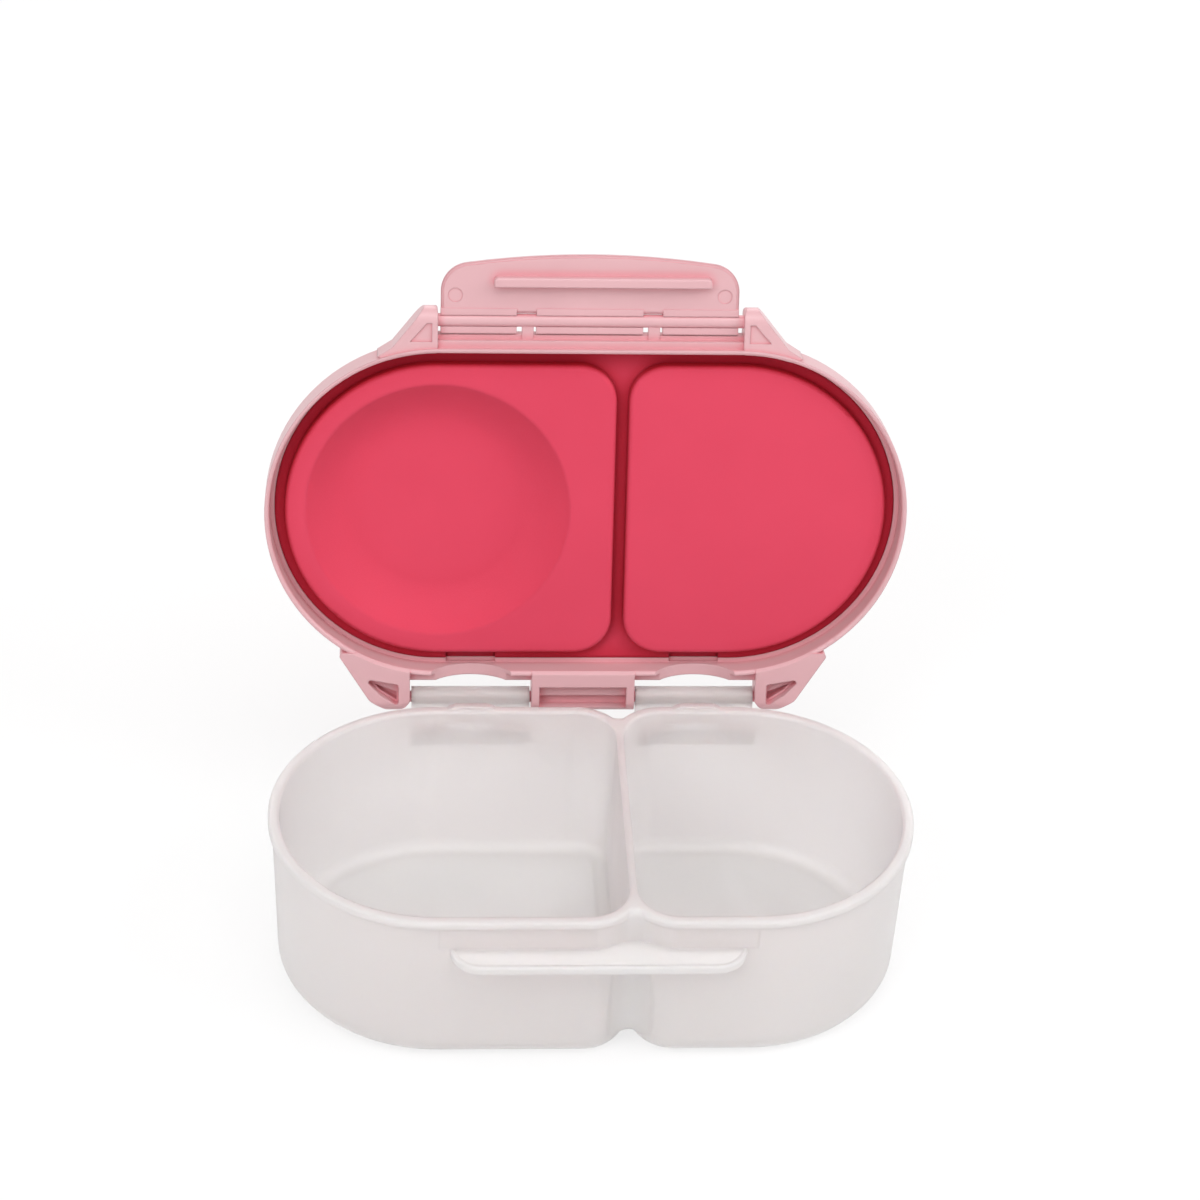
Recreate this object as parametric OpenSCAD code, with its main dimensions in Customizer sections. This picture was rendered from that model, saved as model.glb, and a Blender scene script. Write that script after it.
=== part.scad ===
// Two-cup snack box with a clip-on lid, a silicone lining and a latch flap.
// The tub stands on the floor with the middle of its footprint at the origin,
// x runs along its width and the latch is at the front, towards -y.
// The lid, its lining and the latch are drawn on the shut box, and then swung
// open together about the rear hinge.

/* [Tub] */
// Width of the tub over its rim
tub_w = 186; // [176:1:210]
// Depth of the tub over its rim
tub_d = 98; // [92:1:106]
// Height of the rim above the floor
tub_h = 53; // [48:1:66]
// Thickness of the tub's walls and divider
wall = 2.2; // [1.8:0.1:2.6]
// Thickness of the tub's floor
floor_t = 2.2; // [1.6:0.1:3]
// Slope of the walls, in degrees from upright
draft = 1.5; // [0.5:0.1:2.5]
// Rounding under the outside of each cup
foot_r = 6.5; // [5:0.5:8]
// Inside corner radius of each cup, beside the divider
corner_r = 12; // [10:0.5:15]
// Distance of the divider from the middle of the tub
divider_x = 10; // [-12:1:12]
// Radius of the hollow down the outside where the cups meet
valley_r = 10; // [7:0.5:14]

/* [Rim] */
// How far the rim stands out past the wall
lip_out = 1; // [0.6:0.1:1.4]
// Height of the rim's outer lip
lip_h = 2.6; // [1.6:0.1:4]
// Rounding of the rim's top edges
rim_round = 0.8; // [0.3:0.1:1]

/* [Latch ledge] */
// Width of the ledge that the latch hooks under
ledge_w = 83; // [70:1:88]
// How far the ledge stands out past the rim
ledge_out = 6.8; // [5.5:0.1:7.5]
// Thickness of the ledge
ledge_t = 2.8; // [2:0.1:4]
// Drop from the rim to the top of the ledge
ledge_drop = 10.5; // [9:0.5:16]
// Plan radius of the ledge's outer corners
ledge_r = 9; // [5:0.5:10]
// Width of the raised border round the ledge's top
ledge_edge = 1.3; // [1:0.1:1.8]
// Depth of the flat panel above the ledge
panel_deep = 0.3; // [0.2:0.1:0.8]

/* [Hinge] */
// Distance of the hinge axis behind the rim
hinge_back = 10; // [9.5:0.5:13]
// Drop from the rim to the hinge axis
hinge_drop = 4; // [3:0.5:5]
// Radius of the lid's hinge rods
rod_r = 1.7; // [1.4:0.1:2]
// Running gap round the hinge and latch rods
pin_fit = 0.1; // [0.05:0.01:0.1]
// Wall of the snap hooks round the rods
hook_t = 1.3; // [1:0.1:1.8]
// Half width of the lid's middle hinge bracket
mid_half = 15.5; // [12:0.5:18]
// Distance from the middle to each outer hinge bracket
gap_end = 52; // [46:0.5:54]
// Width of the stiffening rib on each hook
rib_w = 14; // [8:0.5:18]
// How far the lid swings from shut to open, in degrees
open_angle = 105; // [90:1:110]

/* [Lid] */
// Thickness of the lid's top plate
plate_t = 2; // [1.6:0.1:3]
// Thickness of the lid's skirt
skirt_t = 2.2; // [1.8:0.1:2.6]
// How far the skirt reaches below the rim's top
skirt_down = 7.5; // [6.5:0.1:8]
// Rounding round the top of the lid
lid_round = 3.6; // [1.5:0.1:4.5]
// How far the front and rear bands stand out past the skirt
band_out = 1.3; // [0.8:0.1:1.6]
// Running gap between the rim and the lid round it
rim_fit = 0.6; // [0.4:0.05:0.8]

/* [Silicone lining] */
// Thickness of the silicone
skin = 1.6; // [1.2:0.1:2.2]
// How far the pads stand down into the cups
pad_deep = 4; // [3:0.5:5]
// Gap between each pad and its cup's wall
pad_fit = 0.7; // [0.6:0.1:1.2]
// Radius of the round stretch dish in the left pad
dish_r = 39; // [30:0.5:40]
// Depth of the dish
dish_deep = 8; // [5:0.5:10]
// Width of the band over which the dish curves down from its edge
dish_band = 14; // [12:0.5:16]
// Radius of the lid's opening that the dish bulges through
opening_r = 36; // [26:0.5:37]

/* [Latch] */
// Half width of the latch flap
flap_half = 43.3; // [34:0.1:43.4]
// Length of the flap, from the rod to its free edge
flap_l = 19.8; // [16:0.1:24]
// Thickness of the flap
flap_t = 2; // [1.6:0.1:2.4]
// Corner radius of the flap
flap_r = 8.5; // [5:0.5:10]
// Radius of the bow along the flap's free edge
flap_bow = 250; // [200:10:400]
// How far the flap has slid along its rod
flap_slide = -0.4; // [-0.5:0.1:0.5]
// Radius of the latch rod
latch_rod_r = 1.9; // [1.6:0.1:2]
// Distance of the latch rod in front of the rim
latch_out = 9.5; // [9:0.1:11]
// Drop from the rim to the latch rod
latch_drop = 2.6; // [1:0.1:4]
// Length of the catch bar inside the flap
catch_w = 63; // [40:1:66]
// Sideways place of the catch bar
catch_shift = 3.5; // [-4:0.1:4]
// How far the catch bar reaches in under the ledge
catch_grip = 1.6; // [1:0.1:2.4]

/* [Hidden] */
$fn = 64;

PINK = "#e0abb0";
ROSE = "#e5526a";
FROST = "#e6e0df";

// Plan of a cup: a round end and two small corners beside the divider.
end_r = tub_d / 2;                       // round end, over the rim
end_x = tub_w / 2 - end_r;               // centre of each round end
bend_r = corner_r + wall + lip_out;      // corner beside the divider, over the rim
bend_x = wall / 2 + corner_r;            // its centre, from the divider
bend_y = end_r - bend_r;
left_run = divider_x - bend_x + end_x;   // straight front of the left cup
right_run = end_x - divider_x - bend_x;  // straight front of the right cup

// Centre of the hollow between the cups, which just meets both corners.
valley_y = bend_y + sqrt(pow(bend_r + valley_r - 0.06, 2) - pow(bend_x, 2));

// The lid over the rim.
lid_r = end_r + rim_fit + skirt_t;
skirt_z = tub_h - skirt_down;
seat_z = tub_h + 0.3;                    // silicone face above the rim
plate_z = seat_z + skin;                 // underside of the lid's plate
top_z = plate_z + plate_t;
seal_in = 0.8;                           // lid's inner ledge round the silicone
band_y = lid_r + band_out;
band_z = skirt_z + 2;
pad_z = seat_z - pad_deep;

// Rear hinge.
axis_y = end_r + hinge_back;
axis_z = tub_h - hinge_drop;
hook_r = rod_r + pin_fit + hook_t;
bracket_r = 4;
arch_x = (mid_half + gap_end) / 2;
arch_w = 24;
arch_top = axis_z + 3.2;
bump_d = 2;                              // bumps on the rear rim
bump_w = 10;
bump_h = 1;
bump_slope = 2;

// Front latch.
ledge_top = tub_h - ledge_drop;
latch_y = -(end_r + latch_out);
latch_z = tub_h - latch_drop;
ear_x = flap_half + 1.2;
web_x = 18.4;
web_w = 3.4;
notch_w = 5.7;
clip_r = latch_rod_r + pin_fit + 1.9;
front_y = -latch_y - clip_r - 0.3;       // front band, clear of the latch hooks
catch_from = latch_z - ledge_top + ledge_t + 0.3;  // rod to the near side of the bar
catch_t = 2.7;

// ---------- plan sweeps ----------

// A section drawn with u = 0 on the rim's outline, moved out to radius r.
module at_radius(r) {
    intersection() {
        translate([r, 0]) children();
        square([r + 2, tub_h + 30]);
    }
}

// Sweeps a section round one cup, whose round end is centred on the origin.
module cup_sweep(run) {
    rotate([0, 0, 90]) rotate_extrude(angle = 180) at_radius(end_r) children();
    for (m = [0, 1]) mirror([0, m, 0]) {
        rotate([90, 0, 90]) linear_extrude(run) at_radius(end_r) children();
        translate([run, bend_y, 0]) rotate_extrude(angle = 90) at_radius(bend_r) children();
    }
    translate([run, bend_y, 0]) rotate([90, 0, 0]) linear_extrude(2 * bend_y)
        at_radius(bend_r) children();
}

// The same section round both cups.
module both_cups() {
    translate([-end_x, 0, 0]) cup_sweep(left_run) children();
    translate([end_x, 0, 0]) mirror([1, 0, 0]) cup_sweep(right_run) children();
}

// Sweeps a section round the whole box, as one long oval.
module oval_sweep() {
    for (m = [0, 1]) {
        mirror([m, 0, 0]) translate([-end_x, 0, 0]) rotate([0, 0, 90])
            rotate_extrude(angle = 180) at_radius(end_r) children();
        mirror([0, m, 0]) translate([-end_x, 0, 0]) rotate([90, 0, 90])
            linear_extrude(2 * end_x) at_radius(end_r) children();
    }
}

// A slab with round plan corners and rounded edges, centred in x, y from 0 to d.
module soft_slab(w, d, h, r, edge) {
    module side(reach) {
        translate([r - reach, edge]) square([reach, h - 2 * edge]);
        translate([r - reach, 0]) square([reach - edge, h]);
        for (z = [edge, h - edge]) translate([r - edge, z]) circle(edge);
    }
    for (m = [0, 1]) mirror([m, 0, 0]) {
        translate([w / 2 - r, r, 0]) rotate([0, 0, -90]) rotate_extrude(angle = 90) side(r);
        translate([0, r, 0]) rotate([90, 0, 90]) mirror([1, 0]) linear_extrude(w / 2 - r) side(r);
        translate([w / 2 - r, r, 0]) rotate([-90, 0, 0]) mirror([0, 1, 0])
            linear_extrude(d - r) side(w / 2);
    }
}

// ---------- tub ----------

// Distance of the wall's outside from the rim's outline, at height z.
function inset(z) = lip_out + (tub_h - z) * tan(draft);

// Section of a filled cup: rounded foot, sloped wall and rim lip.
module cup_section() {
    foot_u = -inset(foot_r) - foot_r;
    low = foot_r * (1 - tan(draft));
    translate([foot_u, foot_r]) intersection() {
        circle(foot_r);
        translate([0, -foot_r]) square([foot_r, 2 * foot_r]);
    }
    polygon([[-end_r, 0], [foot_u, 0], [-inset(low), low], [-inset(tub_h), tub_h],
        [-end_r, tub_h]]);
    // rim lip, rounded outside
    translate([-rim_round, tub_h - rim_round]) circle(rim_round);
    translate([-lip_out - wall, tub_h - lip_h]) square([lip_out + wall, lip_h - rim_round]);
    translate([-lip_out - wall, tub_h - lip_h]) square([lip_out + wall - rim_round, lip_h]);
}

// Section of the space inside a cup, with the rim's inner edge rounded over.
module cavity_section() {
    inner_r = foot_r - wall;
    turn_z = floor_t + inner_r;
    low = turn_z - inner_r * tan(draft);
    foot_u = -inset(turn_z) - wall - inner_r;
    rim_u = -inset(tub_h - rim_round) - wall;
    translate([foot_u, turn_z]) intersection() {
        circle(inner_r);
        translate([0, -inner_r]) square([inner_r, 2 * inner_r]);
    }
    polygon([[-end_r, floor_t], [foot_u, floor_t], [-inset(low) - wall, low],
        [-inset(tub_h + 1) - wall, tub_h + 1], [-end_r, tub_h + 1]]);
    difference() {
        translate([rim_u - 1, tub_h - rim_round]) square([rim_round + 1, rim_round + 1]);
        translate([rim_u + rim_round, tub_h - rim_round]) circle(rim_round);
    }
}

// Fills the cusp between the cups with a smooth hollow, arched over the floor
// and rounded over at the top.
module valley() {
    top_r = 2;
    foot_arch_r = 4.6;
    turn_r = valley_r + inset(tub_h - top_r) + top_r - 0.02;
    difference() {
        translate([0, 0, foot_r]) linear_extrude(tub_h - foot_r)
            polygon([[-bend_x, bend_y], [bend_x, bend_y], [0, valley_y]]);
        translate([0, valley_y, 0]) {
            cylinder(h = tub_h, r1 = valley_r + inset(0), r2 = valley_r + inset(tub_h));
            rotate_extrude() difference() {
                translate([0, tub_h - top_r]) square([turn_r, top_r + 1]);
                translate([turn_r, tub_h - top_r]) circle(top_r);
            }
        }
        translate([0, bend_y - 1, foot_r + 1.3 - foot_arch_r]) rotate([-90, 0, 0])
            cylinder(h = valley_y, r = foot_arch_r);
    }
}

// The tub filled solid: two cups side by side, joined from their feet up.
module tub_solid() {
    both_cups() cup_section();
    translate([divider_x, 0, 0]) {
        translate([-bend_x / 2, -bend_y, foot_r]) cube([bend_x, 2 * bend_y, tub_h / 2]);
        for (m = [0, 1]) mirror([0, m, 0]) valley();
    }
}

// Ledge across the front, which the latch hooks under, with a raised border.
module ledge() {
    border_h = 0.4;
    inner_r = ledge_r - ledge_edge;
    translate([0, -end_r - ledge_out, ledge_top - ledge_t]) difference() {
        soft_slab(ledge_w, ledge_out + 7, ledge_t, ledge_r, 0.7);
        translate([0, ledge_r, ledge_t - border_h]) linear_extrude(1) hull() {
            for (x = [ledge_r - ledge_w / 2, ledge_w / 2 - ledge_r]) translate([x, 0]) circle(inner_r);
            translate([ledge_edge - ledge_w / 2, 0]) square([ledge_w - 2 * ledge_edge, 8]);
        }
    }
}

// Shallow flat panel in the front wall, from the ledge up to the lip.
module panel_cut() {
    panel_w = ledge_w + 6;
    drop = ledge_drop - lip_h;
    translate([0, -end_r + lip_out, tub_h - lip_h]) rotate([draft, 0, 0])
        translate([-panel_w / 2, -2, -drop]) cube([panel_w, 2 + panel_deep, drop]);
}

// Snap hook behind the rim that takes a rod of the lid, open towards the rear.
module hinge_hook() {
    hook_from = mid_half + 0.5;
    hook_w = gap_end - mid_half - 1;
    web_t = 3;
    low = skirt_z - 0.6;
    foot_y = end_r - lip_out - wall / 2;
    in_r = hook_r * 0.8;
    rib_z = axis_z - 0.6;
    translate([hook_from, 0, 0]) rotate([90, 0, 90]) linear_extrude(hook_w) difference() {
        union() {
            translate([axis_y, axis_z]) circle(hook_r);
            polygon([[foot_y, low - web_t - 2], [foot_y, low], [band_y + 0.6, low],
                [axis_y - in_r * cos(20), axis_z + in_r * sin(20)],
                [axis_y - in_r * sin(10), axis_z - in_r * cos(10)],
                [axis_y - hook_r, low - web_t]]);
        }
        translate([axis_y, axis_z]) {
            circle(rod_r + pin_fit);
            rotate(-45) translate([0, -rod_r * 0.8]) square([2 * hook_r, rod_r * 1.6]);
        }
    }
    // stiffening rib, which passes under the arch in the lid's skirt
    translate([arch_x - rib_w / 2, 0, 0]) rotate([90, 0, 90]) linear_extrude(rib_w)
        polygon([[foot_y, low - 1], [foot_y, rib_z], [band_y + 0.5, rib_z],
            [axis_y - in_r, axis_z - 2], [axis_y - hook_r, low - 1]]);
}

// Low bump on the rear rim, over each hook's rib.
module rim_bump() {
    top_x = bump_w / 2;
    end = top_x + bump_slope;
    translate([arch_x, end_r - bump_d, tub_h]) rotate([90, 0, 180]) linear_extrude(bump_d)
        polygon([[-end, -1], [-end, 0], [-top_x, bump_h], [top_x, bump_h], [end, 0], [end, -1]]);
}

// Room for a bump in the lid and its lining, from y = y1 to y = y2.
module bump_room(y1, y2) {
    room_w = bump_w + 2 * bump_slope + 0.8;
    for (x = [-arch_x, arch_x])
        translate([x - room_w / 2, y1, seat_z - 1]) cube([room_w, y2 - y1, bump_h + 1]);
}

module tub() {
    color(FROST, 0.7) difference() {
        union() {
            difference() {
                tub_solid();
                panel_cut();
            }
            ledge();
            for (m = [0, 1]) mirror([m, 0, 0]) {
                hinge_hook();
                rim_bump();
            }
        }
        both_cups() cavity_section();
    }
}

// ---------- lid ----------

// Turns what is drawn on the shut box to the open lid.
module swing_open() {
    translate([0, axis_y, axis_z]) rotate([-open_angle, 0, 0])
        translate([0, -axis_y, -axis_z]) children();
}

// Section of the lid's skirt and plate, with a ledge inside that frames the lining.
module lid_section() {
    out = rim_fit + skirt_t;
    edge = skirt_t / 2;
    translate([out - edge, skirt_z + edge]) circle(edge);
    translate([rim_fit, skirt_z + edge]) square([skirt_t, top_z - lid_round - skirt_z - edge]);
    translate([out - lid_round, top_z - lid_round]) intersection() {
        circle(lid_round);
        square(lid_round);
    }
    translate([-end_r, plate_z]) square([end_r + out - lid_round, plate_t]);
    translate([-seal_in, seat_z]) square([seal_in + rim_fit + 0.3, skin + 0.3]);
}

// Straight band along the skirt from height z, out to y = reach and x = half.
module band(z, reach, half) {
    translate([0, 0, z]) linear_extrude(top_z - lid_round - z)
        polygon([[-half - 16, end_r - 3], [-half, reach], [half, reach], [half + 16, end_r - 3],
            [0, end_r - 3]]);
}

// Plan of an ear, faired into the rim of the lid.
module ear_plan() {
    tip = 2.4;
    hull() {
        for (y = [latch_y - 2.4, -lid_r + 1]) translate([ear_x + tip, y]) circle(tip, $fn = 32);
        translate([end_x + 13.2, -lid_r + 3.2]) circle(2, $fn = 32);
    }
    polygon([[end_x + 5, -lid_r + 4], [end_x + 10.6, -lid_r - 1.6], [end_x + 13, -lid_r + 0.2],
        [end_x + 18, -lid_r + 3.4], [end_x + 10, -lid_r + 6]]);
}

// Ear that holds one end of the latch rod: a round-nosed lug with a sunk face.
module ear() {
    nose_r = 4.2;
    low = latch_z - nose_r;
    difference() {
        intersection() {
            translate([0, 0, low - 1]) linear_extrude(2 * nose_r + 2) ear_plan();
            translate([ear_x - 1, 0, 0]) rotate([90, 0, 90]) linear_extrude(20) {
                translate([latch_y, latch_z]) circle(nose_r);
                translate([latch_y, low]) square([2 * latch_out, 2 * nose_r]);
            }
        }
        translate([0, 0, low - 1]) linear_extrude(1.5) polygon([[ear_x + 1.7, latch_y],
            [ear_x + 1.7, -lid_r - 1.2], [ear_x + 8, -lid_r - 1.2], [ear_x + 3.2, latch_y]]);
    }
}

// Rod between the ears, with its two webs.
module latch_rod() {
    translate([-ear_x - 1, latch_y, latch_z]) rotate([0, 90, 0])
        cylinder(h = 2 * ear_x + 2, r = latch_rod_r);
    for (x = [-web_x, web_x])
        translate([x - web_w / 2, latch_y, latch_z - 1.1])
            cube([web_w, latch_out - rim_fit - skirt_t, 2.2]);
}

// Side view of a hinge bracket, rounded about the hinge axis.
module bracket_side(from, width) {
    translate([from, 0, 0]) rotate([90, 0, 90]) linear_extrude(width) {
        translate([axis_y, axis_z]) circle(bracket_r);
        translate([end_r - 6, axis_z - bracket_r]) square([hinge_back + 6, 2 * bracket_r]);
    }
}

// Convex plan through round corners, each given as x past the bracket, y and radius.
module rounded_plan(corners) {
    hull() for (c = corners) translate([gap_end + c[0], c[1]]) circle(c[2], $fn = 48);
}

// Outer hinge bracket, shaped like a wing, with a stepped pocket underneath.
module wing() {
    wing_w = 22;
    pocket_z = axis_z - bracket_r - 1;
    difference() {
        intersection() {
            translate([0, 0, skirt_z - 1]) linear_extrude(20)
                rounded_plan([[5, axis_y - 1.2, 5], [8.6, axis_y - 3.4, 4.8],
                    [14.6, axis_y - 7.4, 1.8], [20, end_r - 4.4, 1], [1, axis_y, 1],
                    [1, end_r - 4, 1]]);
            bracket_side(gap_end, wing_w);
        }
        translate([0, 0, pocket_z]) linear_extrude(4) rounded_plan([[4.2, band_y + 1.3, 0.8],
            [11.6, band_y, 0.8], [8.4, axis_y - 2.5, 0.8], [4.2, axis_y + 0.4, 0.8]]);
        translate([gap_end, 0, pocket_z]) linear_extrude(6.4) polygon([[4, band_y + 4],
            [10.6, band_y + 1.4], [8.7, axis_y - 2.4], [4, axis_y + 0.6]]);
    }
}

// Middle hinge bracket with its stepped pocket.
module mid_bracket() {
    pocket_z = axis_z - bracket_r - 1;
    side_t = 2.4;
    near_y = band_y + 1.5;
    step_y = axis_y - 0.7;
    far_y = axis_y + 2.4;
    difference() {
        bracket_side(-mid_half, 2 * mid_half);
        translate([side_t - mid_half, near_y, pocket_z])
            cube([2 * (mid_half - side_t), far_y - near_y, 4]);
        translate([side_t - mid_half, step_y, pocket_z])
            cube([2 * (mid_half - side_t), far_y - step_y, 6.4]);
    }
}

// Rods that the tub's hooks snap round.
module hinge_rods() {
    for (m = [0, 1]) mirror([m, 0, 0])
        translate([mid_half - 1, axis_y, axis_z]) rotate([0, 90, 0])
            cylinder(h = gap_end - mid_half + 2, r = rod_r);
}

// The space inside the skirt, and the arches that clear the hooks' ribs.
module lid_cuts() {
    arch_r = (pow(arch_w / 2, 2) + pow(arch_top - skirt_z, 2)) / (2 * (arch_top - skirt_z));
    edge = skirt_t / 2;
    oval_sweep() polygon([[-end_r, skirt_z - 5], [rim_fit + edge + 0.2, skirt_z - 5],
        [rim_fit + edge + 0.2, skirt_z - 1], [rim_fit, skirt_z + edge / 2], [rim_fit, seat_z],
        [-seal_in, seat_z], [-seal_in, plate_z], [-end_r, plate_z]]);
    for (m = [0, 1]) mirror([m, 0, 0])
        translate([arch_x, end_r - 0.4, arch_top - arch_r]) rotate([-90, 0, 0])
            cylinder(h = 10, r = arch_r);
    bump_room(end_r - bump_d - 0.5, end_r + 0.3);
}

module lid() {
    color(PINK) swing_open() {
        difference() {
            union() {
                oval_sweep() lid_section();
                band(band_z, band_y, gap_end + 2);
                mirror([0, 1, 0]) {
                    band(band_z, band_y, end_x + 2);
                    band(band_z + 2.1, front_y, ear_x + 1);
                }
                for (m = [0, 1]) mirror([m, 0, 0]) {
                    ear();
                    wing();
                }
                mid_bracket();
            }
            lid_cuts();
            translate([-end_x, 0, plate_z - 1]) cylinder(h = 20, r = opening_r + 0.2);
        }
        latch_rod();
        hinge_rods();
    }
}

// ---------- silicone lining ----------

// Section of one pad, filled up to the plate: upright side and soft lower edge.
module pad_section(by) {
    u = -lip_out - wall - pad_fit - by;
    low = pad_z + by;
    round_r = by > 0 ? 0.4 : 1.2;
    translate([u - round_r, low + round_r]) circle(round_r);
    translate([-end_r, low]) square([end_r + u - round_r, plate_z - low]);
    translate([-end_r, low + round_r]) square([end_r + u, plate_z - low - round_r]);
}

// Height of the dish's inside at distance r from its middle: steepest at the edge,
// then ever flatter until it meets the flat middle.
function dish_z(r) = pad_z + dish_deep * (1 - pow((r - dish_r + dish_band) / dish_band, 2));

// Radii from the dish's flat middle out to its edge.
dish_rows = [for (i = [0:14]) dish_r - dish_band * (1 - i / 14)];

// Dished wall, with the collar that grips the edge of the lid's opening.
module dish_wall() {
    collar_r = opening_r + 1.6;
    polygon(concat([[0, pad_z + dish_deep]], [for (r = dish_rows) [r, dish_z(r)]],
        [[dish_r + 2, pad_z + 0.3], [dish_r + 2, pad_z + skin]],
        [for (i = [14:-1:0]) [dish_rows[i] + skin / 2, dish_z(dish_rows[i]) + skin]],
        [[0, pad_z + dish_deep + skin]]));
    translate([opening_r - 4, seat_z]) square([8, skin]);
    translate([opening_r - 4, seat_z]) square([4, skin + plate_t + 1.2]);
    translate([opening_r - 3, top_z + 0.1]) square([collar_r - opening_r + 3, 0.9]);
}

// The space inside the dish.
module dish_hollow() {
    polygon(concat([[0, pad_z - 1], [0, pad_z + dish_deep]], [for (r = dish_rows) [r, dish_z(r)]],
        [[dish_r, pad_z - 1]]));
}

module silicone_lining() {
    color(ROSE) swing_open() difference() {
        union() {
            difference() {
                union() {
                    both_cups() pad_section(0);
                    oval_sweep() translate([-end_r, seat_z])
                        square([end_r - seal_in - 0.1, skin]);
                }
                both_cups() pad_section(skin);
                bump_room(end_r - bump_d - 0.5, end_r);
            }
            translate([-end_x, 0, 0]) rotate_extrude() dish_wall();
        }
        translate([-end_x, 0, 0]) rotate_extrude() dish_hollow();
    }
}

// ---------- latch ----------

// Plan of the flap, drawn in by a small amount: square at the rod, with a bowed
// free edge that runs smoothly into its round corners.
module flap_plan(by) {
    near_y = latch_y - latch_rod_r - 0.25 - by;
    bow_y = latch_y - flap_l + flap_bow;
    corner_x = flap_half - flap_r;
    corner_y = bow_y - sqrt(pow(flap_bow - flap_r, 2) - pow(corner_x, 2));
    difference() {
        hull() {
            for (m = [0, 1]) mirror([m, 0]) {
                translate([corner_x, corner_y]) circle(flap_r - by);
                translate([0, near_y - 1]) square([flap_half - by, 2]);
            }
            for (x = [-corner_x:corner_x / 6:corner_x])
                translate([x, bow_y - sqrt(pow(flap_bow, 2) - x * x) + 1])
                    circle(1 - by, $fn = 24);
        }
        translate([-flap_half, near_y]) square([2 * flap_half, flap_l]);
    }
}

// Flap with softened edges and two shallow marks from the mould's ejector pins.
module flap_plate() {
    mark_r = 2.1;
    translate([0, 0, latch_z - flap_t / 2]) difference() {
        for (step = [[0.8, 0], [0.3, 0.25], [0, 0.6]]) translate([0, 0, step[1]])
            linear_extrude(flap_t - 2 * step[1]) flap_plan(step[0]);
        for (x = [4.2 - flap_half, flap_half - 4.2])
            translate([x, latch_y - 7.7, -1]) cylinder(h = 1.2, r = mark_r, $fn = 32);
    }
}

// Hooks that snap over the latch rod from outside, in three runs between the webs.
module rod_hooks() {
    runs = [[-flap_half, -web_x - notch_w / 2], [-web_x + notch_w / 2, web_x - notch_w / 2],
        [web_x + notch_w / 2, flap_half]];
    for (r = runs) translate([r[0], latch_y, latch_z]) rotate([90, 0, 90])
        linear_extrude(r[1] - r[0]) difference() {
            circle(clip_r);
            circle(latch_rod_r + pin_fit);
            translate([-clip_r, -clip_r - 1.2]) square([2 * clip_r, clip_r]);
        }
}

// Bar inside the flap that hooks under the tub's ledge.
module catch_bar() {
    bar_y = latch_y - catch_from - catch_t;
    reach = latch_out - ledge_out + catch_grip;
    translate([catch_shift, bar_y, latch_z - reach])
        soft_slab(catch_w, catch_t, reach, catch_t / 2 - 0.05, catch_t / 4 - 0.05);
}

module latch_flap() {
    color(PINK) swing_open() translate([flap_slide, 0, 0]) {
        flap_plate();
        rod_hooks();
        catch_bar();
    }
}

tub();
lid();
silicone_lining();
latch_flap();
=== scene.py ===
# %% [markdown]
# # A two-cup snack box
# The box is four mouldings: a frosted tub, a pink lid, the rose silicone lining
# pressed into the lid, and the flap that latches the lid at the front. Their
# shapes come ready made, as four solids that already ride on their moving
# bodies, so this lesson is about finish: what makes frosted plastic, satin
# plastic and silicone look like themselves, and how to light and frame them.

# %% Load the four mouldings
import math

import bpy
from mathutils import Matrix, Vector

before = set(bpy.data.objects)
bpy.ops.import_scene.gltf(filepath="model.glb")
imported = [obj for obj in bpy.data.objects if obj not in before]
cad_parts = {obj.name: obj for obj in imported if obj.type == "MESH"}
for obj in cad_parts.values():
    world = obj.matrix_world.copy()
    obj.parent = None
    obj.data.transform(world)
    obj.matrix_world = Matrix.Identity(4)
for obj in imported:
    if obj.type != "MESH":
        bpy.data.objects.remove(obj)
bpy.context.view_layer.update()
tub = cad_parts["tub"]
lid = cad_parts["lid"]
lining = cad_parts["silicone_lining"]
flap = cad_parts["latch_flap"]

# %% [markdown]
# ## The camera
# A camera can be placed by hand, or by a constraint that tracks a target. Here
# it is built from a heading, an elevation and a distance, with three small
# turns after that, because each number then has a meaning: the camera stands a
# metre off, nearly 40 degrees up, turned a little to the left of the middle.
# A long lens keeps the box's near and far edges close in size.

# %% Aim the camera
HEADING = math.radians(4.667)
ELEVATION = math.radians(39.764)
DISTANCE = 1.0
TILT = math.radians(3.844)
PAN = math.radians(0.045)
ROLL = math.radians(2.853)
LENS_MM = 103.53
SENSOR_MM = 36
TARGET = Vector((0, 0, 0.045))

back = Vector((-math.sin(HEADING) * math.cos(ELEVATION),
               -math.cos(HEADING) * math.cos(ELEVATION), math.sin(ELEVATION)))
ahead = -back
right = ahead.cross(Vector((0, 0, 1))).normalized()
up = right.cross(ahead)
tilt = Matrix.Rotation(TILT, 3, right)
ahead, up = tilt @ ahead, tilt @ up
pan = Matrix.Rotation(PAN, 3, up)
ahead, right = pan @ ahead, pan @ right
right, up = (math.cos(ROLL) * right + math.sin(ROLL) * up,
             math.cos(ROLL) * up - math.sin(ROLL) * right)

camera = bpy.data.objects.new("camera", bpy.data.cameras.new("camera"))
bpy.context.scene.collection.objects.link(camera)
bpy.context.scene.camera = camera
turn = Matrix((right, up, -ahead)).transposed().to_4x4()
camera.matrix_world = Matrix.Translation(TARGET + back * DISTANCE) @ turn
camera.data.lens = LENS_MM
camera.data.sensor_width = SENSOR_MM
bpy.context.scene.view_settings.view_transform = "Standard"
print("camera at", [round(v, 3) for v in camera.location])

# %% [markdown]
# ## Shared helpers: a new material
# Every finish in this lesson starts from a new material, whose nodes do the
# work. Nodes can be drawn by hand in the editor, or made by a few lines of
# code, as here, so that each number stays in sight. What is even all over a
# surface is set straight on the shader's sockets. The last helper tells the
# camera's own rays from the light's, for what should only be seen.

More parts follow.
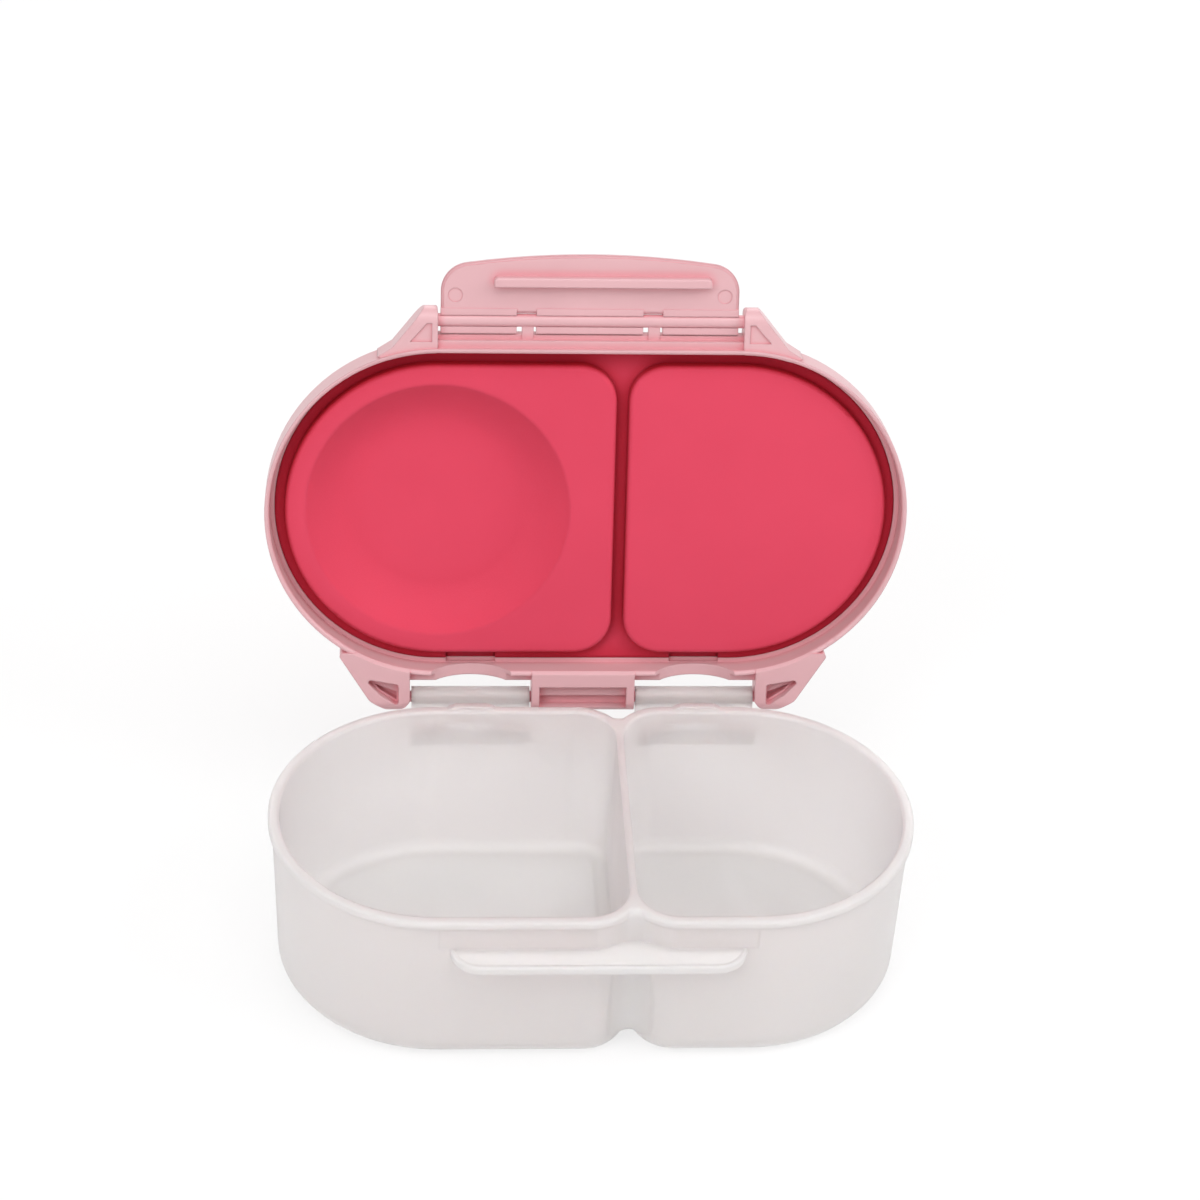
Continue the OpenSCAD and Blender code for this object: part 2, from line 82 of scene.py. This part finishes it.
# %% Make the material helpers
def fresh_material(name):
    """A new material, with its node tree and its shader node."""
    material = bpy.data.materials.new(name)
    material.use_nodes = True
    tree = material.node_tree
    return material, tree, tree.nodes["Principled BSDF"]


def set_sockets(shader, values):
    """Sets the values that are the same all over the surface."""
    for socket, value in values.items():
        shader.inputs[socket].default_value = value


def seen_directly(tree):
    """A value of 1 for the camera's rays, straight, mirrored or through glass."""
    path = tree.nodes.new("ShaderNodeLightPath")
    either = path.outputs["Is Camera Ray"]
    for ray in ("Is Glossy Ray", "Is Transmission Ray"):
        most = tree.nodes.new("ShaderNodeMath")
        most.operation = "MAXIMUM"
        tree.links.new(either, most.inputs[0])
        tree.links.new(path.outputs[ray], most.inputs[1])
        either = most.outputs[0]
    return either


print("helpers ready: fresh_material, set_sockets, seen_directly")

# %% [markdown]
# ## The floor
# A pale product shot can be made in a curved paper sweep, or on a flat floor
# with a plain white world behind it. The flat floor is used because nothing
# then shows where paper would bend. The floor glows for the camera alone, so
# it reads as white, and the share of its grey that is left still takes the
# box's soft shadow.

# %% Lay the floor
FLOOR_M = 6
FLOOR_GREY = 0.86
GLOW_SHARE = 0.72

bpy.ops.mesh.primitive_plane_add(size=FLOOR_M)
floor = bpy.context.object
floor.name = "floor"

paper, tree, shader = fresh_material("white_paper_floor")
set_sockets(shader, {
    "Base Color": (FLOOR_GREY, FLOOR_GREY, FLOOR_GREY, 1),
    "Roughness": 0.9,
    "Specular IOR Level": 0.0,
})
glow = tree.nodes.new("ShaderNodeEmission")
glow.inputs["Strength"].default_value = 1.0
share = tree.nodes.new("ShaderNodeMath")
share.operation = "MULTIPLY"
share.inputs[1].default_value = GLOW_SHARE
blend = tree.nodes.new("ShaderNodeMixShader")
tree.links.new(seen_directly(tree), share.inputs[0])
tree.links.new(share.outputs[0], blend.inputs[0])
tree.links.new(shader.outputs[0], blend.inputs[1])
tree.links.new(glow.outputs[0], blend.inputs[2])
tree.links.new(blend.outputs[0], tree.nodes["Material Output"].inputs["Surface"])
floor.data.materials.append(paper)
print("floor laid:", FLOOR_M, "m square, glow share", GLOW_SHARE)

# %% [markdown]
# ## Light
# Small lamps would put hard sparks on the lid's edges. Large soft panels give
# the broad, pale highlights that show a moulding's rounded edges instead, so
# there are four: over the front left, over the right, high over the front, and
# behind, where light comes through the frosted walls.

# %% Hang the soft panels
AIM = Vector((0, 0.03, 0.06))


def soft_panel(name, place, size, watts):
    """A square area lamp at a place, turned to face the middle of the box."""
    lamp = bpy.data.lights.new(name, "AREA")
    lamp.size = size
    lamp.energy = watts
    holder = bpy.data.objects.new(name, lamp)
    holder.location = place
    holder.rotation_euler = (AIM - Vector(place)).to_track_quat("-Z", "Y").to_euler()
    bpy.context.scene.collection.objects.link(holder)
    return holder


panels = [
    soft_panel("panel_front_left", (-0.9, -1.1, 1.3), 0.9, 11),
    soft_panel("panel_right", (1.2, -0.4, 1.1), 0.8, 8),
    soft_panel("panel_top", (0.1, -0.5, 1.5), 0.9, 7),
    soft_panel("panel_back", (0.1, 1.3, 0.9), 0.9, 6),
]
print("panels and watts:", [(p.name, p.data.energy) for p in panels])

# %% [markdown]
# ## The white room
# Panels alone leave the bottoms of the cups dark. An even, slightly warm room
# fills them. It could be built from walls, but a world background costs
# nothing. What the camera sees behind the box is a plain white, set apart from
# the fill, so that the backdrop's brightness never adds light to the box.

# %% Paint the room
FILL = 0.58

room = bpy.data.worlds.new("white_room")
bpy.context.scene.world = room
room.use_nodes = True
tree = room.node_tree
tree.nodes.clear()
backdrop = tree.nodes.new("ShaderNodeBackground")
backdrop.inputs["Strength"].default_value = 1.0
fill = tree.nodes.new("ShaderNodeBackground")
fill.inputs["Color"].default_value = (1.0, 0.99, 0.98, 1)
fill.inputs["Strength"].default_value = FILL
choose = tree.nodes.new("ShaderNodeMixShader")
world_out = tree.nodes.new("ShaderNodeOutputWorld")
tree.links.new(seen_directly(tree), choose.inputs[0])
tree.links.new(fill.outputs[0], choose.inputs[1])
tree.links.new(backdrop.outputs[0], choose.inputs[2])
tree.links.new(choose.outputs[0], world_out.inputs["Surface"])
print("room fill:", FILL)

# %% [markdown]
# ## Shared helpers: grain
# No moulding is perfectly even. Its steel mould was polished or blasted, and
# leaves a faint grain, and its colour drifts a little where the melt flowed.
# An image could carry this, but noise in the piece's own coordinates needs no
# unwrapping and moves with the piece, so each finish below uses it.

# %% Make the grain helpers
NOISE_LOW, NOISE_HIGH = 0.3, 0.7


def place_of(tree):
    """The piece's own coordinates, in metres."""
    return tree.nodes.new("ShaderNodeTexCoord").outputs["Object"]


def noise(tree, place, per_metre):
    """Smooth noise with about this many grains in a metre."""
    texture = tree.nodes.new("ShaderNodeTexNoise")
    texture.inputs["Scale"].default_value = per_metre
    texture.inputs["Detail"].default_value = 2.0
    tree.links.new(place, texture.inputs["Vector"])
    return texture.outputs["Fac"]


def between(tree, factor, low, high):
    """Runs a value from low to high over the middle of the noise."""
    spread = tree.nodes.new("ShaderNodeMapRange")
    spread.inputs["From Min"].default_value = NOISE_LOW
    spread.inputs["From Max"].default_value = NOISE_HIGH
    spread.inputs["To Min"].default_value = low
    spread.inputs["To Max"].default_value = high
    tree.links.new(factor, spread.inputs["Value"])
    return spread.outputs["Result"]


def tint(tree, factor, first, second):
    """A colour that drifts from the first to the second with the factor."""
    ramp = tree.nodes.new("ShaderNodeValToRGB")
    start, end = ramp.color_ramp.elements
    start.position, end.position = NOISE_LOW, NOISE_HIGH
    start.color, end.color = (*first, 1), (*second, 1)
    tree.links.new(factor, ramp.inputs["Fac"])
    return ramp.outputs["Color"]


print("noise runs from", NOISE_LOW, "to", NOISE_HIGH)

# %% [markdown]
# ## Shared helper: soft edges
# A steel mould can't hold a knife edge, and silicone never shows one, so every
# edge on the real box is rounded by half a millimetre or more. Cutting that
# into the meshes would add many thousands of faces. A bevel node gives the
# same highlight instead: near an edge, it turns the shading smoothly from one
# face to the next. The grain's small hills then lie on top of it.

# %% Make the edge helper
NEAR_RAYS = 4


def grain_bump(tree, height, depth, strength, edge):
    """Small hills of this depth in metres, over edges softened by this radius."""
    soft = tree.nodes.new("ShaderNodeBevel")
    soft.samples = NEAR_RAYS
    soft.inputs["Radius"].default_value = edge
    bump = tree.nodes.new("ShaderNodeBump")
    bump.inputs["Distance"].default_value = depth
    bump.inputs["Strength"].default_value = strength
    tree.links.new(height, bump.inputs["Height"])
    tree.links.new(soft.outputs["Normal"], bump.inputs["Normal"])
    return bump.outputs["Normal"]


print("rays that feel for an edge or a crease:", NEAR_RAYS)

# %% [markdown]
# ## Shared helper: painted crease shade
# In a crease of a coloured piece, light goes from wall to wall before it comes
# out, and each bounce makes the colour deeper. Light that scatters under the
# surface deepens it too. Long light paths could give both, slowly and with
# noise, so this helper paints that shade into the colour instead: it feels for
# nearby surfaces and runs the colour to a deeper one where they close in.

# %% Make the painted crease shade helper
def paint_crease_shade(tree, colour, deep, reach, power):
    """Paints shade: runs a colour to a deeper one where nearby surfaces close it in.
    """
    # painted shade: ambient occlusion mixes the shade colour in where surfaces close
    # in
    closed = tree.nodes.new("ShaderNodeAmbientOcclusion")
    closed.samples = NEAR_RAYS
    closed.inputs["Distance"].default_value = reach
    curve = tree.nodes.new("ShaderNodeMath")
    curve.operation = "POWER"
    curve.inputs[1].default_value = power
    tree.links.new(closed.outputs["AO"], curve.inputs[0])
    blend = tree.nodes.new("ShaderNodeMix")
    blend.data_type = "RGBA"
    blend.inputs["A"].default_value = (*deep, 1)
    tree.links.new(curve.outputs[0], blend.inputs["Factor"])
    tree.links.new(colour, blend.inputs["B"])
    return blend.outputs["Result"]


print("helpers ready: grain_bump, paint_crease_shade")

# %% [markdown]
# ## Shared helper: dressing a moulding
# A finish could be given face by face, or by the slots that a moulding comes
# with. Each of these mouldings is one material through and through, so its
# mesh stays as it is, and every slot on it gets the same finish.

# %% Make the dressing helper
def dress(moulding, material):
    """Puts one material in every slot of a moulding."""
    slots = moulding.data.materials
    if not slots:
        slots.append(material)
    for i in range(len(slots)):
        slots[i] = material
    print(moulding.name, "wears", material.name)


print("slots:", {name: len(node.data.materials) for name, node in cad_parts.items()})

# %% [markdown]
# ## Frosted plastic
# The tub is polypropylene from a blasted mould. Light goes in, scatters and
# comes out nearby, so it looks milky, pale at its thick rim and a little grey
# where one wall lies behind another. Plain glass would be too clear and plain
# white too solid. The shader mixes both: some rough transmission, and under
# it a white that lets light travel several millimetres.

# %% Mix the frosted plastic
MILK_WHITE, WARM_WHITE = (0.985, 0.925, 0.92), (0.99, 0.945, 0.94)

frosted, tree, shader = fresh_material("frosted_tub_plastic")
place = place_of(tree)
tree.links.new(tint(tree, noise(tree, place, per_metre=22), MILK_WHITE, WARM_WHITE),
               shader.inputs["Base Color"])
tree.links.new(between(tree, noise(tree, place, per_metre=60), low=0.36, high=0.44),
               shader.inputs["Roughness"])
tree.links.new(grain_bump(tree, noise(tree, place, per_metre=2600), depth=0.00004,
                          strength=0.25, edge=0.0008),
               shader.inputs["Normal"])
set_sockets(shader, {
    "IOR": 1.49,
    "Transmission Weight": 0.4,
    "Subsurface Weight": 1.0,
    "Subsurface Radius": (0.008, 0.008, 0.0085),
    "Subsurface Scale": 1.0,
})
dress(tub, frosted)

# %% [markdown]
# ## Pink satin plastic
# The lid and the flap are a solid pink, smooth but not mirror bright: their
# edges carry soft, wide highlights, and their tight creases are painted a
# redder shade. A lower roughness would make them look wet, and a higher one
# chalky, so it drifts a little between the two. The crease helper paints that
# shade over a short reach, so that only the narrow creases redden.

# %% Mix the pink plastic
COOL_PINK, WARM_PINK = (0.635, 0.37, 0.395), (0.665, 0.395, 0.42)
# painted shade: the redder pink that narrow creases run to
PAINTED_CREASE_SHADE_PINK = (0.74, 0.27, 0.31)

pink, tree, shader = fresh_material("pink_satin_plastic")
place = place_of(tree)
drift = tint(tree, noise(tree, place, per_metre=30), COOL_PINK, WARM_PINK)
# painted shade: the crease helper reddens the pink in narrow creases
tree.links.new(paint_crease_shade(tree, drift, PAINTED_CREASE_SHADE_PINK, reach=0.0026, power=1.5),
               shader.inputs["Base Color"])
tree.links.new(between(tree, noise(tree, place, per_metre=75), low=0.29, high=0.35),
               shader.inputs["Roughness"])
tree.links.new(grain_bump(tree, noise(tree, place, per_metre=1800), depth=0.00003,
                          strength=0.2, edge=0.0006),
               shader.inputs["Normal"])
set_sockets(shader, {"IOR": 1.49})
dress(lid, pink)
dress(flap, pink)

# %% [markdown]
# ## Rose silicone
# Silicone is softer to look at than plastic: almost no shine, a faint powdery
# bloom where it turns away, and deep colour in its folds, painted in as shade
# by the crease helper. A cloth shader has the bloom but no body, so a rough
# plastic shader gets a little sheen instead, a fine grain breaks up what shine
# is left, and its edges are the roundest.

# %% Mix the silicone
DARK_ROSE, BRIGHT_ROSE = (0.63, 0.057, 0.104), (0.66, 0.062, 0.112)
# painted shade: the dark red that the folds, the channel and the dish walls run to
PAINTED_FOLD_SHADE_RED = (0.38, 0.0, 0.008)

rose, tree, shader = fresh_material("matt_rose_silicone")
place = place_of(tree)
drift = tint(tree, noise(tree, place, per_metre=26), DARK_ROSE, BRIGHT_ROSE)
# painted shade: the crease helper darkens the rose where surfaces close in, over a 9
# mm reach
tree.links.new(paint_crease_shade(tree, drift, PAINTED_FOLD_SHADE_RED, reach=0.009, power=1.6),
               shader.inputs["Base Color"])
tree.links.new(between(tree, noise(tree, place, per_metre=90), low=0.55, high=0.65),
               shader.inputs["Roughness"])
tree.links.new(grain_bump(tree, noise(tree, place, per_metre=2200), depth=0.00004,
                          strength=0.3, edge=0.0018),
               shader.inputs["Normal"])
set_sockets(shader, {
    "IOR": 1.41,
    "Specular IOR Level": 0.12,
    "Sheen Weight": 0.02,
    "Sheen Roughness": 0.5,
    "Subsurface Weight": 0.1,
    "Subsurface Radius": (0.003, 0.0008, 0.0008),
    "Subsurface Scale": 1.0,
})
dress(lining, rose)
